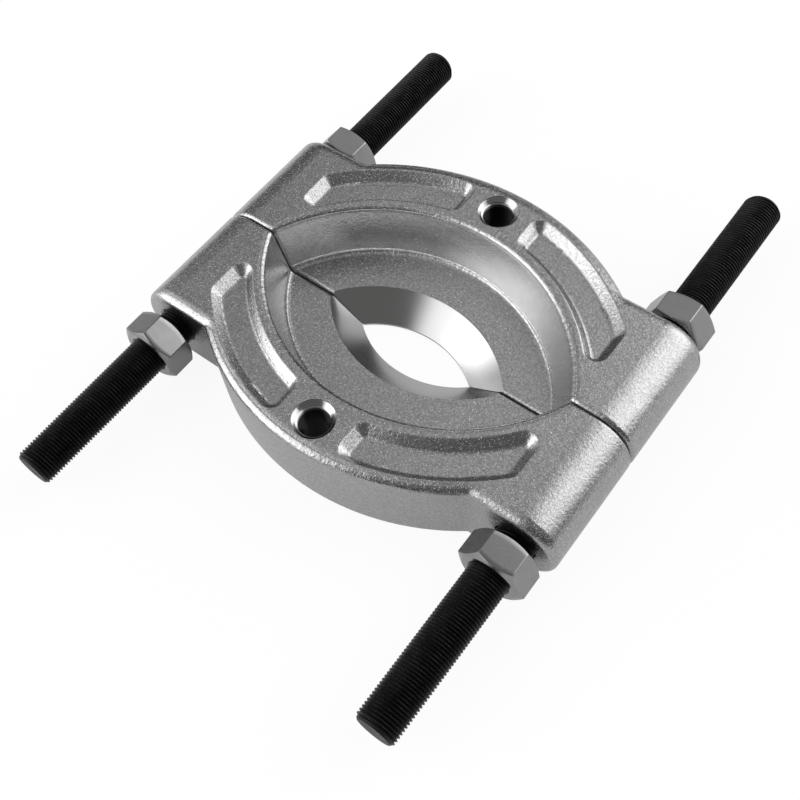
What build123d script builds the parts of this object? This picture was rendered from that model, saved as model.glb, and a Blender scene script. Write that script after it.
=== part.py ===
from build123d import *
from math import cos, radians, sqrt, tan
import os

# A bearing separator: two forged half plates on two long threaded studs, each stud with a nut at both ends.
# The origin is the centre of the opening at the underside. X runs along the seam between the halves,
# Y along the studs and Z up. Millimetres throughout.

# Studs, M18 with a fine thread, modelled here at the thread's full diameter
stud_diameter = 18.0
stud_length = 297.0
stud_end_chamfer = 1.5

# Half plates: the outside of one forging. The body wall is its top face, from the recess out to the round wall.
plate_thickness = 36.0
underside_milling = 1.0
lug_reach = 57.5
seam_gap = 0.4
arc_centre_beyond_seam = 35.0
body_wall = 29.0

# The turned form inside: recess for the bearing, flat land, bevel and knife edge
recess_rim_radius = 87.0
recess_wall_slope = 15.2
land_height = 12.4
bevel_radius = 59.8
knife_radius = 46.5
knife_lip = 1.0

# Pockets in the top face, two on each half, by what is left of the metal round them
pocket_side_wall = 5.0
pocket_hole_gap = 6.6
pocket_seam_gap = 8.6
pocket_corner_radius = 5.5
pocket_depth = 5.2
pocket_wall_slope = 37.0

# Holes
lug_bore_clearance = 0.5
lug_bore_chamfer = 0.8
puller_hole_diameter = 16.0
puller_hole_chamfer = 1.4

# Room beside the lugs: a spanner's room between nut and round wall, and the least metal between bore and recess
nut_wall_clearance = 6.4
bore_recess_wall = 5.0

# Edge rounding of the forging
corner_rounding = 1.5
outer_edge_rounding = 3.0
seam_rounding = 2.0
rim_rounding = 2.0
recess_floor_rounding = 2.0
pocket_floor_rounding = 2.0
pocket_rim_rounding = 1.0

# Nuts
nut_across_flats = 27.0
nut_thickness = 14.5
nut_thread_clearance = 0.05
nut_face_diameter = 25.0
nut_chamfer_angle = 30.0
nut_mouth_chamfer = 0.8

# How far each nut happens to be turned, as the angle of one corner up from the seam direction
nut_angles = {
    "front_left": 27.0,
    "front_right": 52.5,
    "rear_left": 51.25,
    "rear_right": 5.0,
}

# How far each nut happens to stand off its lug, and each stud off the middle
nut_gaps = {
    "front_left": 5.1,
    "front_right": 3.4,
    "rear_left": 2.3,
    "rear_right": 3.9,
}
stud_offsets = {
    "left": -0.7,
    "right": 0.6,
}

# Sizes that follow from the ones above, first of the studs, nuts and lugs
stud_radius = stud_diameter / 2
lug_bore_radius = stud_radius + lug_bore_clearance
lug_radius = (plate_thickness + underside_milling) / 2
stud_height = plate_thickness - lug_radius
seam_face = seam_gap / 2
lug_length = lug_reach - seam_face
nut_corner_radius = nut_across_flats / (2 * cos(radians(30)))

# Radii about the centre that all arcs of a half share
outer_wall_radius = recess_rim_radius + body_wall
recess_draft = tan(radians(recess_wall_slope))
recess_floor_radius = recess_rim_radius - (plate_thickness - land_height) * recess_draft
recess_mid_radius = recess_rim_radius - (plate_thickness - stud_height) * recess_draft
pocket_inner_radius = recess_rim_radius + pocket_side_wall
pocket_outer_radius = outer_wall_radius - pocket_side_wall

# The studs stand far enough out for the nuts to pass the round wall, and for the bores to miss the recess.
wall_x = sqrt(outer_wall_radius**2 - (arc_centre_beyond_seam + lug_reach) ** 2)
recess_x = sqrt(recess_mid_radius**2 - arc_centre_beyond_seam**2)
nut_side_x = wall_x + nut_wall_clearance + nut_corner_radius
bore_side_x = recess_x + bore_recess_wall + lug_bore_radius
stud_x = max(nut_side_x, bore_side_x)
stud_spacing = 2 * stud_x

# Places in the top face: the puller hole is on the middle of the body wall, and the pockets lie beside it.
puller_hole_from_seam = recess_rim_radius + body_wall / 2 - arc_centre_beyond_seam
pocket_near_x = puller_hole_diameter / 2 + puller_hole_chamfer + pocket_hole_gap
pocket_far_x = sqrt(pocket_inner_radius**2 - (arc_centre_beyond_seam + pocket_seam_gap) ** 2)

# How far a cutting form runs past what it cuts, and how close two places are the same
overrun = 5.0
same_place = 0.01

os.makedirs("parts", exist_ok=True)


def of_radius(radius):
    """A test that picks the circular edges of one radius."""
    return lambda edge: edge.geom_type == GeomType.CIRCLE and abs(edge.radius - radius) < same_place


def above_underside(edge):
    """A test that leaves out the edges on the underside."""
    return edge.center().Z > same_place


# The form that sinks both pockets of a half. It is drawn upside down, so the pockets' floors are on top.
with BuildPart() as pocket_form:
    with BuildSketch() as pocket_outline:
        with Locations((0, -arc_centre_beyond_seam)):
            Circle(pocket_outer_radius)
            Circle(pocket_inner_radius, mode=Mode.SUBTRACT)
        with Locations((pocket_near_x, 0)):
            Rectangle(
                pocket_far_x - pocket_near_x,
                pocket_outer_radius,
                align=(Align.MIN, Align.MIN),
                mode=Mode.INTERSECT,
            )
        fillet(pocket_outline.vertices(), pocket_corner_radius)
    extrude(amount=pocket_depth, taper=pocket_wall_slope)
    fillet(pocket_form.faces().sort_by(Axis.Z)[-1].edges(), pocket_floor_rounding)
    mirror(about=Plane.YZ)

# Front half. A bar with half-round lugs runs from the seam to the seats of the nuts. The round body is a
# segment of a disc, whose centre lies beyond the seam, so that the opening of the pair is a lens.
with BuildPart() as front_half:
    with BuildSketch(Plane.XZ.offset(seam_face)):
        with Locations((0, stud_height)):
            SlotCenterToCenter(stud_spacing, 2 * lug_radius)
    extrude(amount=lug_length)
    fillet(front_half.faces().sort_by(Axis.Y)[-1].edges(), seam_rounding)
    with BuildSketch():
        with Locations((0, arc_centre_beyond_seam)):
            Circle(outer_wall_radius)
        with Locations((0, -lug_reach / 2)):
            Rectangle(stud_spacing, outer_wall_radius, align=(Align.CENTER, Align.MAX), mode=Mode.INTERSECT)
    extrude(amount=plate_thickness)

    # The underside is milled flat, which takes the lowest sliver off the round lugs.
    split(bisect_by=Plane.XY, keep=Keep.TOP)

    # Inner corners where the round wall leaves the lugs, then the top edge all round the outside
    fillet(front_half.edges().filter_by(Axis.Z), corner_rounding)
    lug_ends = front_half.faces().filter_by(Axis.Y).group_by(Axis.Y)[0].edges()
    wall_edges = front_half.edges().filter_by(of_radius(outer_wall_radius))
    outer_edges = (lug_ends + wall_edges).filter_by(above_underside).filter_by(Axis.Z, reverse=True)
    fillet(outer_edges, outer_edge_rounding)

    # Recess, land, bevel and knife edge, turned about the centre that all arcs of the half share
    with BuildSketch(Plane.XZ.offset(-arc_centre_beyond_seam)):
        with BuildLine():
            Polyline(
                (0, -overrun),
                (knife_radius, -overrun),
                (knife_radius, knife_lip),
                (bevel_radius, land_height),
                (recess_floor_radius, land_height),
                (recess_rim_radius, plate_thickness),
                (recess_rim_radius + recess_draft * overrun, plate_thickness + overrun),
                (0, plate_thickness + overrun),
                close=True,
            )
        make_face()
    revolve(axis=Axis((0, arc_centre_beyond_seam, 0), (0, 0, 1)), mode=Mode.SUBTRACT)
    fillet(front_half.edges().filter_by(of_radius(recess_floor_radius)), recess_floor_rounding)
    fillet(front_half.edges().filter_by(of_radius(recess_rim_radius)), rim_rounding)

    # Pockets in the top face
    with Locations(Location((0, 0, plate_thickness), (180, 0, 0))):
        add(pocket_form.part, mode=Mode.SUBTRACT)
    fillet(front_half.edges(Select.LAST).group_by(Axis.Z)[-1], pocket_rim_rounding)

    # Hole for the bolt of a puller, threaded on the real part, with a chamfer at both mouths
    with Locations((0, -puller_hole_from_seam, plate_thickness)):
        Hole(puller_hole_diameter / 2)
    chamfer(front_half.edges(Select.LAST).filter_by(of_radius(puller_hole_diameter / 2)), puller_hole_chamfer)

    # Bores that slide on the studs
    with BuildSketch(Plane.XZ.offset(seam_face)):
        with Locations((0, stud_height)):
            with GridLocations(stud_spacing, 0, 2, 1):
                Circle(lug_bore_radius)
    extrude(amount=lug_length, mode=Mode.SUBTRACT)
    chamfer(front_half.edges(Select.LAST).filter_by(of_radius(lug_bore_radius)), lug_bore_chamfer)
front_half.part.label = "front_half"
export_step(front_half.part, "parts/front_half.step")

# Rear half: the same forging, turned round
with BuildPart() as rear_half:
    add(front_half.part, rotation=(0, 0, 180))
rear_half.part.label = "rear_half"
export_step(rear_half.part, "parts/rear_half.step")

# Studs, one through the lugs on each side
for side_name, side in (("left", -1), ("right", 1)):
    middle = stud_offsets[side_name]
    with BuildPart() as stud:
        with BuildSketch(Plane.XZ.offset(-middle)):
            with Locations((side * stud_x, stud_height)):
                Circle(stud_radius)
        extrude(amount=stud_length / 2, both=True)
        chamfer(stud.edges().filter_by(of_radius(stud_radius)), stud_end_chamfer)
    stud.part.label = f"{side_name}_stud"
    export_step(stud.part, f"parts/{side_name}_stud.step")

# One nut about its own axis, which lies along Y: a hexagon, cut by a cone at each face
with BuildPart() as nut_form:
    with BuildSketch(Plane.XZ):
        RegularPolygon(nut_across_flats / 2, 6, major_radius=False)
    extrude(amount=nut_thickness / 2, both=True)
    nut_face_radius = nut_face_diameter / 2
    cone_radius = nut_corner_radius + overrun
    cone_drop = (cone_radius - nut_face_radius) * tan(radians(nut_chamfer_angle))
    with BuildSketch():
        with BuildLine():
            Polyline(
                (0, -nut_thickness / 2),
                (nut_face_radius, -nut_thickness / 2),
                (cone_radius, -nut_thickness / 2 + cone_drop),
                (cone_radius, nut_thickness / 2 - cone_drop),
                (nut_face_radius, nut_thickness / 2),
                (0, nut_thickness / 2),
                close=True,
            )
        make_face()
    revolve(axis=Axis.Y, mode=Mode.INTERSECT)
    nut_bore_radius = stud_radius + nut_thread_clearance
    with BuildSketch(Plane.XZ):
        Circle(nut_bore_radius)
    extrude(amount=nut_thickness / 2, both=True, mode=Mode.SUBTRACT)
    chamfer(nut_form.edges().filter_by(of_radius(nut_bore_radius)), nut_mouth_chamfer)

# The four nuts, each on its stud a little way off its lug
for end_name, end in (("front", -1), ("rear", 1)):
    for side_name, side in (("left", -1), ("right", 1)):
        corner = f"{end_name}_{side_name}"
        nut_middle = lug_reach + nut_gaps[corner] + nut_thickness / 2
        place = (side * stud_x, end * nut_middle, stud_height)
        with BuildPart() as nut:
            with Locations(Location(place, (0, -nut_angles[corner], 0))):
                add(nut_form.part)
        nut.part.label = f"{corner}_nut"
        export_step(nut.part, f"parts/{corner}_nut.step")
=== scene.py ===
# %% [markdown]
# # A bearing separator
# Two forged half plates close behind a bearing, and two long threaded studs with a nut at each end draw them
# together. The solids come from CAD as a fixed frame. This lesson gives them what CAD left out: the threads,
# the look of a blasted forging, the turned faces, and a small studio to see them in.
# Everything is in metres, in the frame of the CAD: X along the seam, Y along the studs, Z up.

# %% Load the frame
from math import cos, pi, radians, sin, tan

import bmesh
import bpy
import numpy as np
from mathutils import Matrix, Vector


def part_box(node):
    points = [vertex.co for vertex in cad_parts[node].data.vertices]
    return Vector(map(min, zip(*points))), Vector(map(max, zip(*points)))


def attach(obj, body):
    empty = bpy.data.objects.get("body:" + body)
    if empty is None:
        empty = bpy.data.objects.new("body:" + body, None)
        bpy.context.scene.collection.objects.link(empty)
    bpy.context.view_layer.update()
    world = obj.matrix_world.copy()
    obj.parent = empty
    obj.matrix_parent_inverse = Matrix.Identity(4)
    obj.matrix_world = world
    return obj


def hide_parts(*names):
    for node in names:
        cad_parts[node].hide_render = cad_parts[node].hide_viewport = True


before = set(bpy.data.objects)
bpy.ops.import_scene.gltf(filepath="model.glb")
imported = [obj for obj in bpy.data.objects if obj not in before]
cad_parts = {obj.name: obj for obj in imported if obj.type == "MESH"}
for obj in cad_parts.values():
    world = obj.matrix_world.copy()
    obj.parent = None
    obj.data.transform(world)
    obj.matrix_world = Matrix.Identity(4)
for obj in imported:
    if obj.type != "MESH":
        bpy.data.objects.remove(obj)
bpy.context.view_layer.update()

# %% [markdown]
# The photograph looks down on the tool from above its front right corner. Its camera was worked out from
# where the studs' ends, the nuts' corners and the round edges fall, and is written here as a direction,
# a distance from one aimed-at point, and a roll. The small shifts are the crop of the picture.

# %% The camera
camera_azimuth = radians(46.5546)
camera_elevation = radians(58.5736)
camera_roll = radians(-9.86306)
camera_distance = 0.456241
aimed_at = Vector((-0.004088, -0.034301, 0.0))


def look(azimuth, elevation, roll):
    """The camera's turn: its back points at azimuth and elevation, then it rolls about its line of sight."""
    back = Vector((sin(azimuth) * cos(elevation), -cos(azimuth) * cos(elevation), sin(elevation)))
    right = Vector((0, 0, 1)).cross(back).normalized()
    up = back.cross(right)
    rolled_right = right * cos(roll) + up * sin(roll)
    rolled_up = up * cos(roll) - right * sin(roll)
    return Matrix((rolled_right, rolled_up, back)).transposed(), back


turn, back = look(camera_azimuth, camera_elevation, camera_roll)
camera_data = bpy.data.cameras.new("camera")
camera_data.sensor_width = 36.0
camera_data.lens = 45.573
camera_data.shift_x = 0.04733
camera_data.shift_y = 0.00471
camera_data.clip_start = 0.01
camera_data.clip_end = 50.0
camera = bpy.data.objects.new("camera", camera_data)
camera.matrix_world = Matrix.Translation(aimed_at + back * camera_distance) @ turn.to_4x4()
bpy.context.scene.collection.objects.link(camera)
bpy.context.scene.camera = camera
bpy.context.scene.view_settings.view_transform = "Standard"
print("camera at", [round(x, 4) for x in camera.matrix_world.translation])

# %% [markdown]
# Every new piece is a sheet of points on a grid: one parameter runs round the piece and the other along it.
# The sheet's ends meet or shrink to a point, so merging the points that fall together closes it. After that
# the faces can be turned to point outwards, and creases are marked where two faces meet at a sharp angle.


# %% Grids, merging and creases
def ring_faces(rows, columns, climb=0):
    """Faces between rings of points. Past its last point a row goes on as the row climb further up."""
    row, column = np.meshgrid(np.arange(rows - 1), np.arange(columns), indexing="ij")
    after = (column + 1) % columns
    lift = np.where(after == 0, climb, 0)
    corners = (row * columns + column, (row + lift) * columns + after, (row + 1 + lift) * columns + after,
               (row + 1) * columns + column)
    return np.stack(corners, axis=-1)[row + 1 + lift < rows]


def make_piece(name, sheets, crease, near=2e-6):
    """A closed mesh from sheets of points and faces: points nearer than near merge, faces turn outwards."""
    counts = np.cumsum([0] + [len(points) for points, _ in sheets])
    points = np.concatenate([points for points, _ in sheets])
    faces = np.concatenate([faces + first for (_, faces), first in zip(sheets, counts)])
    mesh = bpy.data.meshes.new(name)
    mesh.from_pydata(points.tolist(), [], faces.tolist())
    shell = bmesh.new()
    shell.from_mesh(mesh)
    bmesh.ops.remove_doubles(shell, verts=shell.verts, dist=near)
    bmesh.ops.recalc_face_normals(shell, faces=shell.faces)
    open_edges = sum(1 for edge in shell.edges if len(edge.link_faces) != 2)
    triangles = sum(len(face.verts) - 2 for face in shell.faces)
    shell.to_mesh(mesh)
    shell.free()
    mesh.shade_smooth()
    mesh.set_sharp_from_angle(angle=radians(crease))
    piece = bpy.data.objects.new(name, mesh)
    bpy.context.scene.collection.objects.link(piece)
    print(name, "triangles", triangles, "open edges", open_edges)
    return piece


# %% [markdown]
# A screw thread is one groove wound round and round. Rows of points that follow the winding give clean crests
# and roots. A right-handed thread climbs by one pitch in one turn, so the place in the groove is the height
# divided by the pitch, less the share of a turn. The flanks lean at 60 degrees to each other, with a narrow
# flat on the crest and a wider rounded root.

# %% The thread's form
crest_half = 1 / 16
flank_end = 3 / 8
basic_depth = 0.5413
root_depth = 0.6134


def groove(height, angle, pitch, deepest):
    """Depth of the groove: none on the crest, an even slope on the flank, then rounded to deepest pitches."""
    phase = height / pitch - angle / (2 * pi)
    away = np.abs(phase - np.round(phase))
    flank = np.clip((away - crest_half) / (flank_end - crest_half), 0, 1)
    rounding = np.clip((away - flank_end) / (0.5 - flank_end), 0, 1)
    return pitch * (basic_depth * flank + (deepest - basic_depth) * rounding * (2 - rounding))


def winding(start, end, pitch, phases, angles):
    """Rows that follow a winding from start to end at the given angles. Returns angles, heights and faces.

    A row's height is (turn number + phase + share of a turn) times the pitch, held between start and end, so
    rows that run out at an end all fall on its rim. After a whole turn a row goes on as the row one pitch up.
    """
    first_turn = np.floor(start / pitch - angles[-1] / (2 * pi)) - 1
    last_turn = np.ceil(end / pitch - angles[0] / (2 * pi)) + 2
    steps = (np.arange(first_turn, last_turn)[:, None] + np.asarray(phases)[None, :]).ravel()
    height = np.clip((steps[:, None] + angles[None, :] / (2 * pi)) * pitch, start, end)
    angle = np.broadcast_to(angles, height.shape)
    return angle, height, ring_faces(len(steps), len(angles), len(phases))


# %% [markdown]
# The studs are long rods of M18 x 1.5, threaded from end to end, with a chamfer at both ends. In the
# photograph some 200 fine turns catch the light. A bump pattern could fake them, but not at the outline, so
# each turn is modelled: six rows to a turn and 44 points round it.

# %% Studs
stud_pitch = 0.0015
stud_radius = 0.009
stud_chamfer = 0.0015
stud_low, stud_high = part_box("right_stud")
stud_x = (stud_low.x + stud_high.x) / 2
stud_z = (stud_low.z + stud_high.z) / 2
stud_phases = (-crest_half, 0.0, crest_half, flank_end, 0.5, 1 - flank_end)
stud_angles = 2 * pi * np.arange(44) / 44


def about_stud(x, radius, angle, y):
    """Points round the line x, stud_z along Y, with the angle from Z towards X."""
    across, up = radius * np.sin(angle), radius * np.cos(angle)
    return np.stack((x + across, y + 0 * across, stud_z + up), axis=-1).reshape(-1, 3)


def make_stud(name, node, x):
    """A threaded rod: its radius less the groove, never above its end chamfers' cones, with flat ends."""
    low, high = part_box(node)
    angle, y, faces = winding(low.y, high.y, stud_pitch, stud_phases, stud_angles)
    cone = stud_radius - stud_chamfer + np.minimum(y - low.y, high.y - y)
    radius = np.minimum(stud_radius - groove(y, angle, stud_pitch, root_depth), cone)
    sheets = [(about_stud(x, radius, angle, y), faces)]
    shares = np.array([1.0, 0.97, 0.8, 0.5, 0.25, 0.0])[:, None]
    for end in (low.y, high.y):
        disc = about_stud(x, shares * (stud_radius - stud_chamfer), stud_angles, end + 0 * shares)
        sheets.append((disc, ring_faces(len(shares), len(stud_angles))))
    return make_piece(name, sheets, crease=24.0)


studs = {}
for side, sign in (("left", -1), ("right", 1)):
    stud = make_stud(f"{side}_threaded_stud", f"{side}_stud", sign * stud_x)
    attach(stud, "studs")
    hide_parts(f"{side}_stud")
    studs[side] = stud

# %% [markdown]
# The nuts are 27 mm across the flats. A cone at each face cuts their corners back to arcs, the bore's mouth
# has a small chamfer, and the thread inside lies in the stud's own groove. The outside is a sheet too: one
# parameter is the angle round the axis, with points crowded at the corners, and the other runs from one mouth
# over the face, the cone and the flats to the other mouth. Cone and flats meet in curved edges, as on a real
# nut, because the cone's edge is lower where the hexagon reaches farther out.
# How far each nut is turned is read from its solid: the point farthest from the axis is a corner.

# %% Nuts
nut_flat = 0.0135
nut_half = 0.00725
nut_face_radius = 0.0125
nut_mouth = 0.00985
nut_gap = 0.00006
nut_cone = radians(30)
corner_blend = 0.00029
edge_blend = 0.00012
corner_steps = (-30, -23, -16, -10, -5, -2.2, -1.15, -0.75, -0.35, 0, 0.35, 0.75, 1.15, 2.2, 5, 10, 16, 23)


def hexagon(from_corner):
    """Distance from the axis to a hexagon's side, by the angle from its nearest corner, which is rounded."""
    corner = nut_flat / cos(pi / 6)
    sharp = nut_flat / np.cos(pi / 6 - np.abs(from_corner))
    way = np.clip(corner_blend - np.abs(from_corner) * corner, 0, None)
    return sharp - tan(pi / 6) * way**2 / (2 * corner_blend)


def corner_angle(node, x):
    """The angle of one corner of a CAD nut about its axis, from Z towards X, from its farthest point."""
    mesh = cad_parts[node].data
    points = np.empty(len(mesh.vertices) * 3, np.float32)
    mesh.vertices.foreach_get("co", points)
    across, up = points[0::3] - x, points[2::3] - stud_z
    farthest = np.argmax(across**2 + up**2)
    return float(np.arctan2(across[farthest], up[farthest]))


def make_nut(name, node, x):
    """A nut about the line x, stud_z: rings of the outside from mouth to mouth, then the thread inside."""
    low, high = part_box(node)
    middle = (low.y + high.y) / 2
    from_corner = np.radians(np.tile(corner_steps, 6))
    angles = corner_angle(node, x) + from_corner + np.repeat(np.arange(6), len(corner_steps)) * pi / 3
    side = hexagon(from_corner)
    drop = (side - nut_face_radius) * tan(nut_cone)
    face = [(radius, 0.0) for radius in (nut_mouth, 0.0101, 0.0111, 0.0119, nut_face_radius - edge_blend)]
    cone = [(nut_face_radius + (side - nut_face_radius) * share, drop * share + edge_blend / 6)
            for share in (0.0, 0.15, 0.5, 0.85)]
    flat = [(side - edge_blend / 2, drop + edge_blend / 4), (side, drop + 2 * edge_blend)]
    height_left = nut_half - drop - 2 * edge_blend
    flat = flat + [(side, nut_half - height_left * share) for share in (0.7, 0.35, 0.0)]
    half = [(radius + 0 * side, nut_half - depth + 0 * side) for radius, depth in face + cone + flat]
    rings = half + [(radius, -height) for radius, height in reversed(half[:-1])]
    radius = np.array([ring[0] for ring in rings])
    height = np.array([ring[1] for ring in rings])
    outside = about_stud(x, radius, angles[None, :] + 0 * radius, middle + height)
    phases = (-crest_half, crest_half, flank_end, 1 - flank_end)
    angle, y, faces = winding(middle - nut_half, middle + nut_half, stud_pitch, phases, angles)
    mouth = nut_mouth - (nut_half - np.abs(y - middle))
    bore = np.maximum(stud_radius + nut_gap - groove(y, angle, stud_pitch, basic_depth), mouth)
    inside = about_stud(x, bore, angle, y)
    sheets = [(outside, ring_faces(len(rings), len(angles))), (inside, faces)]
    return make_piece(name, sheets, crease=16.0)


nuts = {}
for end in ("front", "rear"):
    for side, sign in (("left", -1), ("right", 1)):
        node = f"{end}_{side}_nut"
        nut = make_nut(f"{end}_{side}_hexagon_nut", node, sign * stud_x)
        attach(nut, node)
        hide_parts(node)
        nuts[node] = nut

# %% [markdown]
# The holes for a puller's bolts are threaded M16 x 1.5. The solid has a plain bore at the thread's full
# diameter, so the turns are a thin sleeve inside it, which rides with its half. The 45 degree chamfer goes on
# through the first turn, as it does where a countersink cut it.

# %% Threads of the puller holes
hole_pitch = 0.0015
hole_major = 0.00796
hole_wall = 0.00803
hole_ends = (0.0014, 0.0346)
hole_from_seam = 0.0665
hole_angles = 2 * pi * np.arange(48) / 48


def make_hole_thread(name, y):
    """A sleeve round the line 0, y along Z: inside, the groove's surface, cut by a cone at each end."""
    phases = (-crest_half, crest_half, flank_end, 1 - flank_end)
    angle, z, faces = winding(hole_ends[0], hole_ends[1], hole_pitch, phases, hole_angles)
    cone = hole_major - np.minimum(z - hole_ends[0], hole_ends[1] - z)
    radius = np.maximum(hole_major - groove(z, angle, hole_pitch, basic_depth), cone)
    inside = np.stack((radius * np.cos(angle), y + radius * np.sin(angle), z), axis=-1).reshape(-1, 3)
    radius = np.array([hole_major, hole_wall, hole_wall, hole_major])[:, None]
    z = np.array([hole_ends[0], hole_ends[0], hole_ends[1], hole_ends[1]])[:, None] + 0 * hole_angles
    across, along = radius * np.cos(hole_angles), y + radius * np.sin(hole_angles)
    wall = np.stack((across, along, z), axis=-1).reshape(-1, 3)
    sheets = [(inside, faces), (wall, ring_faces(4, len(hole_angles)))]
    return make_piece(name, sheets, crease=20.0)


hole_threads = {}
for end, sign in (("front", -1), ("rear", 1)):
    sleeve = make_hole_thread(f"{end}_hole_thread", sign * hole_from_seam)
    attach(sleeve, f"{end}_half")
    hole_threads[end] = sleeve

# %% [markdown]
# Finishes are node trees. Written out by hand, a tree is hard to read, so one small class wraps a socket:
# sums and products of such sockets read as plain formulas and add their Math nodes by themselves. Every other
# kind of node comes from its one method, node, which takes the kind, its settings and what goes into it.


# %% A socket that can be calculated with
class Wire:
    """One output socket of a node tree, or with no socket the tree itself."""

    def __init__(self, tree, socket=None):
        self.tree = tree
        self.socket = socket

    def node(self, kind, settings=None, inputs=None, output=0):
        """Adds a node: sets its settings, then its inputs from wires or values, and returns one output."""
        node = self.tree.nodes.new(kind)
        for key, value in (settings or {}).items():
            setattr(node, key, value)
        for key, value in (inputs or {}).items():
            if isinstance(value, Wire):
                self.tree.links.new(value.socket, node.inputs[key])
            else:
                node.inputs[key].default_value = value
        return Wire(self.tree, node.outputs[output] if len(node.outputs) else None)

    def math(self, operation, *values):
        """A Math node on wires and numbers."""
        return self.node("ShaderNodeMath", {"operation": operation}, dict(enumerate(values)))

    def __add__(self, other):
        return self.math("ADD", self, other)

    def __radd__(self, other):
        return self.math("ADD", other, self)

    def __sub__(self, other):
        return self.math("SUBTRACT", self, other)

    def __rsub__(self, other):
        return self.math("SUBTRACT", other, self)

    def __mul__(self, other):
        return self.math("MULTIPLY", self, other)

    def __rmul__(self, other):
        return self.math("MULTIPLY", other, self)

    def __abs__(self):
        return self.math("ABSOLUTE", self)

    def root(self):
        """The square root."""
        return self.math("SQRT", self)

    def above(self, low, high):
        """0 below low, 1 above high, and a smooth rise between them."""
        inputs = {"Value": self, "From Min": low, "From Max": high, "To Min": 0.0, "To Max": 1.0}
        return self.node("ShaderNodeMapRange", {"interpolation_type": "SMOOTHSTEP"}, inputs)

    def below(self, low, high):
        """1 below low, 0 above high."""
        return 1 - self.above(low, high)

    def near(self, value, half, soft):
        """1 within half of value, 0 farther away than half and soft."""
        return abs(self - value).below(half, half + soft)

    def noise(self, scale, detail=2.0, roughness=0.5):
        """Fractal noise from 0 to 1, sampled at this vector."""
        inputs = {"Vector": self, "Scale": scale, "Detail": detail, "Roughness": roughness}
        return self.node("ShaderNodeTexNoise", {"noise_dimensions": "3D"}, inputs)

    def split(self):
        """The three numbers of a vector."""
        parts = self.node("ShaderNodeSeparateXYZ", None, {"Vector": self}).socket.node.outputs
        return [Wire(self.tree, part) for part in parts]

    def join(self, x, y, z):
        """A vector from three numbers."""
        return self.node("ShaderNodeCombineXYZ", None, {"X": x, "Y": y, "Z": z})

    def tint(self, first, second):
        """A colour on the way from first to second, by this share."""
        inputs = {0: self, 6: first, 7: second}
        return self.node("ShaderNodeMix", {"data_type": "RGBA"}, inputs, output=2)


def between(low, high, share):
    """A number on the way from low to high, by a wire."""
    return low + share * (high - low)


def grey(level, warmth=0.0):
    """A near-grey colour, a little warmer or cooler."""
    return (level * (1 + warmth), level, level * (1 - warmth), 1.0)


def new_finish(name):
    """A new material, its empty tree, and the place on the piece from Object coordinates."""
    material = bpy.data.materials.new(name)
    material.use_nodes = True
    material.node_tree.nodes.clear()
    here = Wire(material.node_tree)
    return material, here, here.node("ShaderNodeTexCoord", output=3)


def set_surface(here, base, metallic, roughness, bumps):
    """Joins colour, metal, roughness and a stack of bumps (height, distance) to the shader and the output."""
    inputs = {"Base Color": base, "Metallic": metallic, "Roughness": roughness}
    for height, distance in bumps:
        bump = {"Height": height, "Distance": distance, "Strength": 1.0}
        if "Normal" in inputs:
            bump["Normal"] = inputs["Normal"]
        inputs["Normal"] = here.node("ShaderNodeBump", None, bump)
    shader = here.node("ShaderNodeBsdfPrincipled", None, inputs)
    here.node("ShaderNodeOutputMaterial", None, {"Surface": shader})


# %% [markdown]
# The halves were forged, blasted and plated, and then turned inside. The blasted skin is grainy: fine grain
# under a millimetre, softer pits and slow lumps, with small bright specks. The bevel is smooth with very fine
# rings, and the recess wall keeps some of the grain. All masks are formulas of the place: the distance from
# the axis that a half was turned about, and the height.
# The real forging's edges are softer than the solid's. A slow bump beside the recess's rim and the outer top
# edge, and one that grows with the depth in the pockets, turn the light there as broader roundings would.

# %% The forged and turned steel of the halves
arc_centre = 0.035
rim_radius = 0.087
wall_foot = 0.0806
bevel_radius = 0.0598
land_height = 0.0124
plate_top = 0.036
outer_radius = 0.116
lug_end = 0.0575
pocket_depth = 0.0052
pocket_middle = 0.1015
pocket_end = 0.083
hole_radius = 0.008
countersink_radius = 0.0094


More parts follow.
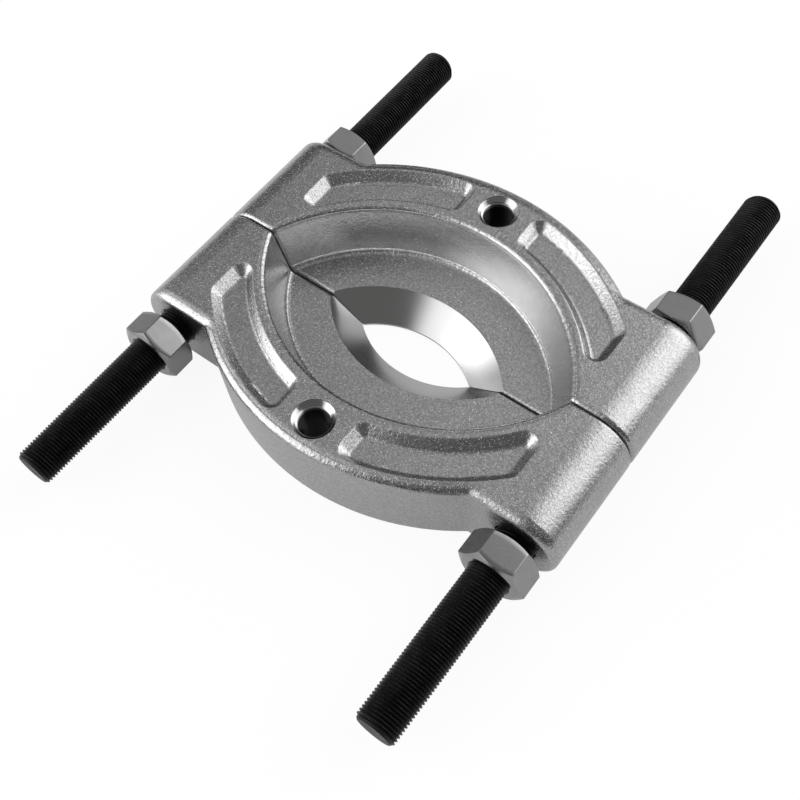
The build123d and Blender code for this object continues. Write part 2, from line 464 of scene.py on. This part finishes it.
def forged_finish():
    """Blasted forging outside and on the land, turned steel on the recess wall and the bevel, painted shade
    deep in the holes.
    """
    material, here, place = new_finish("forged_steel")
    x, y, z = place.split()
    from_centre = abs(y) + arc_centre
    reach = (x * x + from_centre * from_centre).root()
    round_arc = here.math("ARCTAN2", x, from_centre) * rim_radius
    from_hole = abs(y) - hole_from_seam
    hole_reach = (x * x + from_hole * from_hole).root()

    inside_rim = reach.below(rim_radius - 0.0004, rim_radius)
    wall = inside_rim * z.above(land_height + 0.0010, land_height + 0.0018)
    bevel = reach.below(bevel_radius - 0.0001, bevel_radius + 0.0001)
    bevel = bevel * z.below(land_height - 0.0001, land_height)
    countersink = hole_reach.below(countersink_radius - 0.0001, countersink_radius + 0.0001)
    # Painted shade: deep in each puller hole, the bore and its thread sleeve are coloured near-black, and the
    # first turns at each end stay light.
    bore = hole_reach.below(hole_radius + 0.0001, hole_radius + 0.0002)
    bore = bore * z.near(plate_top / 2, plate_top / 2 - 0.0050, 0.0022)
    turned = here.math("MAXIMUM", wall * 0.4, bevel)
    turned = here.math("MAXIMUM", turned, countersink)
    skin = 1 - turned

    rim = reach.near(rim_radius + 0.0005, 0.0009, 0.0006) * z.above(plate_top - 0.002, plate_top - 0.001)
    foot = reach.near(wall_foot - 0.0005, 0.0009, 0.0006) * z.below(land_height + 0.0012, land_height + 0.002)
    edge = reach.near(outer_radius - 0.001, 0.0016, 0.0008) * z.above(plate_top - 0.004, plate_top - 0.003)
    edge = edge * abs(y).above(lug_end - 0.0005, lug_end + 0.0005)
    slopes = reach.near(pocket_middle, 0.0108, 0.0008) * z.near(0.0337, 0.0017, 0.0004)
    rolled_rim = reach.above(rim_radius - 0.0010, rim_radius + 0.0036)
    near_end = abs(y).above(lug_end - 0.0055, lug_end - 0.0003)
    rolled_edge = 1 - reach.above(outer_radius - 0.0060, outer_radius - 0.0006) * near_end
    beside_hole = hole_reach.above(countersink_radius, countersink_radius + 0.0004)
    in_pocket = beside_hole * abs(x).below(pocket_end, pocket_end + 0.0005)
    sunk = (plate_top - z) * in_pocket * reach.near(pocket_middle, 0.0103, 0.0006) * (1 / pocket_depth)
    streaks = here.join(round_arc * 500, reach * 260, z * 260).noise(1.0, 2.0)
    crinkles = here.math("MAXIMUM", rim, foot)
    crinkles = here.math("MAXIMUM", crinkles, edge)
    crinkles = here.math("MAXIMUM", crinkles, slopes * 0.25)

    grain = place.noise(1900, 3.0, 0.6)
    pits = place.noise(820, 2.0, 0.55)
    lumps = place.noise(75, 1.0)
    rings = here.join(reach * 3000, z * 3000, 0.0).noise(1.0, 1.0)
    specks = place.noise(2300, 1.0).above(0.64, 0.74) * skin
    tone = (grain * 0.65 + pits * 0.35).above(0.34, 0.66) * skin + turned * 0.7
    bright = (tone * 0.85 + lumps * 0.15).tint(grey(0.23), grey(0.41))
    bright = (specks * 0.65).tint(bright, grey(0.8))
    bright = (wall * 0.85).tint(bright, grey(0.64))
    # The bore mask paints shade: the deep part of each puller hole turns near-black.
    base = bore.tint(bright, grey(0.012))
    roughness = between(0.19, 0.26, skin) + (pits - 0.5) * 0.06 * skin
    bumps = [
        (lumps * skin, 0.0002),
        (rolled_rim, 0.0007),
        (rolled_edge, 0.0010),
        (sunk, 0.28 * pocket_depth),
        (pits * skin, 0.00014),
        (streaks * crinkles, 0.00022),
        (grain * skin, 0.00005),
        (specks, 0.00006),
        (rings * turned, 0.000002),
    ]
    set_surface(here, base, 1.0, roughness, bumps)
    return material


forged_steel = forged_finish()
for node in ("front_half", "rear_half"):
    for material_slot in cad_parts[node].material_slots:
        material_slot.material = forged_steel
    print(node, "slots", len(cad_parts[node].material_slots))
for sleeve in hole_threads.values():
    sleeve.data.materials.append(forged_steel)

# %% [markdown]
# Black oxide is a thin dark skin on the studs. The crests rub against the lugs and the nuts, so they are a
# touch smoother and lighter than the grooves. The distance from the stud's axis tells crest from groove.

# %% Black oxide of the studs


def oxide_finish():
    """Near-black steel, with rubbed crests and patches of duller oxide."""
    material, here, place = new_finish("black_oxide")
    x, y, z = place.split()
    across = abs(x) - stud_x
    up = z - stud_z
    reach = (across * across + up * up).root()
    crest = reach.above(stud_radius - 0.0003, stud_radius - 0.00004)
    patches = place.noise(220, 3.0, 0.6)
    rubbed = crest * patches.above(0.35, 0.7)
    base = rubbed.tint(grey(0.010), grey(0.032, 0.03))
    roughness = between(0.5, 0.38, crest) + (patches - 0.5) * 0.2
    bumps = [(place.noise(2500, 2.0), 0.00002)]
    set_surface(here, base, 0.85, roughness, bumps)
    return material


oxide = oxide_finish()
for stud in studs.values():
    stud.data.materials.append(oxide)

# %% [markdown]
# The nuts are turned from bar and plated. Their faces keep the lathe's fine rings, and the flats a soft sheen
# with small marks from spanners.

# %% Plated steel of the nuts


def plated_finish():
    """Satin plating: rings on the end faces, faint draw marks along the flats, small dull marks."""
    material, here, place = new_finish("nut_plating")
    x, y, z = place.split()
    across = abs(x) - stud_x
    up = z - stud_z
    reach = (across * across + up * up).root()
    end_face = reach.below(nut_face_radius - 0.0001, nut_face_radius + 0.0001)
    rings = here.join(reach * 5000, 0.0, 0.0).noise(1.0, 2.0)
    drawn = here.join(x * 2500, y * 250, z * 2500).noise(1.0, 2.0)
    clouds = place.noise(160, 3.0)
    marks = place.noise(700, 2.0, 0.6).above(0.55, 0.8)
    base = (clouds * 0.7 + marks * 0.3).tint(grey(0.27), grey(0.21))
    roughness = 0.20 + clouds * 0.08 + marks * 0.06
    bumps = [(rings * end_face, 0.000012), (drawn * (1 - end_face), 0.000006), (marks, 0.00001)]
    set_surface(here, base, 1.0, roughness, bumps)
    return material


plating = plated_finish()
for nut in nuts.values():
    nut.data.materials.append(plating)

# %% [markdown]
# The tool lies on a pale floor in soft light. Most of what the camera sees of the floor is plain white, which
# keeps the shadow light and soft. Reflections get a smaller share of white and more of the lit floor. That is
# pale too, and steel close to the floor also mirrors the shadow there.

# %% Floor


def floor_finish():
    """A pale matt floor, lifted towards plain white for the camera, and less far for reflections."""
    material, here, _ = new_finish("studio_floor")
    rays = here.node("ShaderNodeLightPath").socket.node.outputs
    mirrored = Wire(here.tree, rays["Is Glossy Ray"]) + Wire(here.tree, rays["Is Transmission Ray"])
    seen = Wire(here.tree, rays["Is Camera Ray"]) * 0.92 + mirrored * 0.4
    matt = here.node("ShaderNodeBsdfDiffuse", None, {"Color": grey(0.9)})
    white = here.node("ShaderNodeEmission", None, {"Color": grey(1.0), "Strength": 1.0})
    mix = here.node("ShaderNodeMixShader", None, {0: seen, 1: matt, 2: white})
    here.node("ShaderNodeOutputMaterial", None, {"Surface": mix})
    return material


floor_half = 3.0
floor_mesh = bpy.data.meshes.new("studio_floor")
floor_corners = [(x * floor_half, y * floor_half, -0.0003) for x, y in ((-1, -1), (1, -1), (1, 1), (-1, 1))]
floor_mesh.from_pydata(floor_corners, [], [(0, 1, 2, 3)])
floor = bpy.data.objects.new("studio_floor", floor_mesh)
floor_mesh.materials.append(floor_finish())
bpy.context.scene.collection.objects.link(floor)

# %% [markdown]
# Metal shows what is round it, so the room is the light. Where the photograph's steel is bright or dark tells
# where its room was bright: two large soft lights, at the front left and the rear right, weaker glows on the
# left and overhead, and a dim room behind the camera. Each light is a smooth function of direction: a
# strength times how squarely one looks at its middle.

# %% The room
soft_lights = {
    "front_left": {"towards": (-0.600, -0.650, 0.469), "from": 0.83, "to": 0.96, "strength": 2.4},
    "front_left_low": {"towards": (-0.663, -0.749, 0.000), "from": 0.82, "to": 0.97, "strength": 2.8},
    "rear_right": {"towards": (0.460, 0.704, 0.541), "from": 0.77, "to": 0.94, "strength": 2.4},
    "rear_low": {"towards": (0.440, 0.885, 0.150), "from": 0.80, "to": 0.98, "strength": 1.1},
    "left_glow": {"towards": (-0.883, -0.204, 0.423), "from": 0.78, "to": 0.98, "strength": 0.75},
    "left_high": {"towards": (-0.450, -0.220, 0.866), "from": 0.84, "to": 0.99, "strength": 0.65},
    "rear_high": {"towards": (-0.190, 0.586, 0.788), "from": 0.86, "to": 0.99, "strength": 0.5},
}


def room_light():
    """The world's brightness by direction: a dim room, a little brighter overhead, and the soft lights."""
    world = bpy.data.worlds.new("room")
    world.use_nodes = True
    world.node_tree.nodes.clear()
    here = Wire(world.node_tree)
    towards = here.node("ShaderNodeTexCoord", output=0)
    x, y, z = towards.split()
    glow = 0.0
    for light in soft_lights.values():
        both = {0: towards, 1: light["towards"]}
        facing = here.node("ShaderNodeVectorMath", {"operation": "DOT_PRODUCT"}, both, output=1)
        glow = glow + facing.above(light["from"], light["to"]) * light["strength"]
    colour = glow.above(0.0, 0.6).tint((0.985, 1.0, 0.97, 1.0), grey(1.0))
    strength = 0.08 + z.above(0.0, 0.9) * 0.19 + glow
    background = here.node("ShaderNodeBackground", None, {"Color": colour, "Strength": strength})
    here.node("ShaderNodeOutputWorld", None, {"Surface": background})
    bpy.context.scene.world = world


room_light()
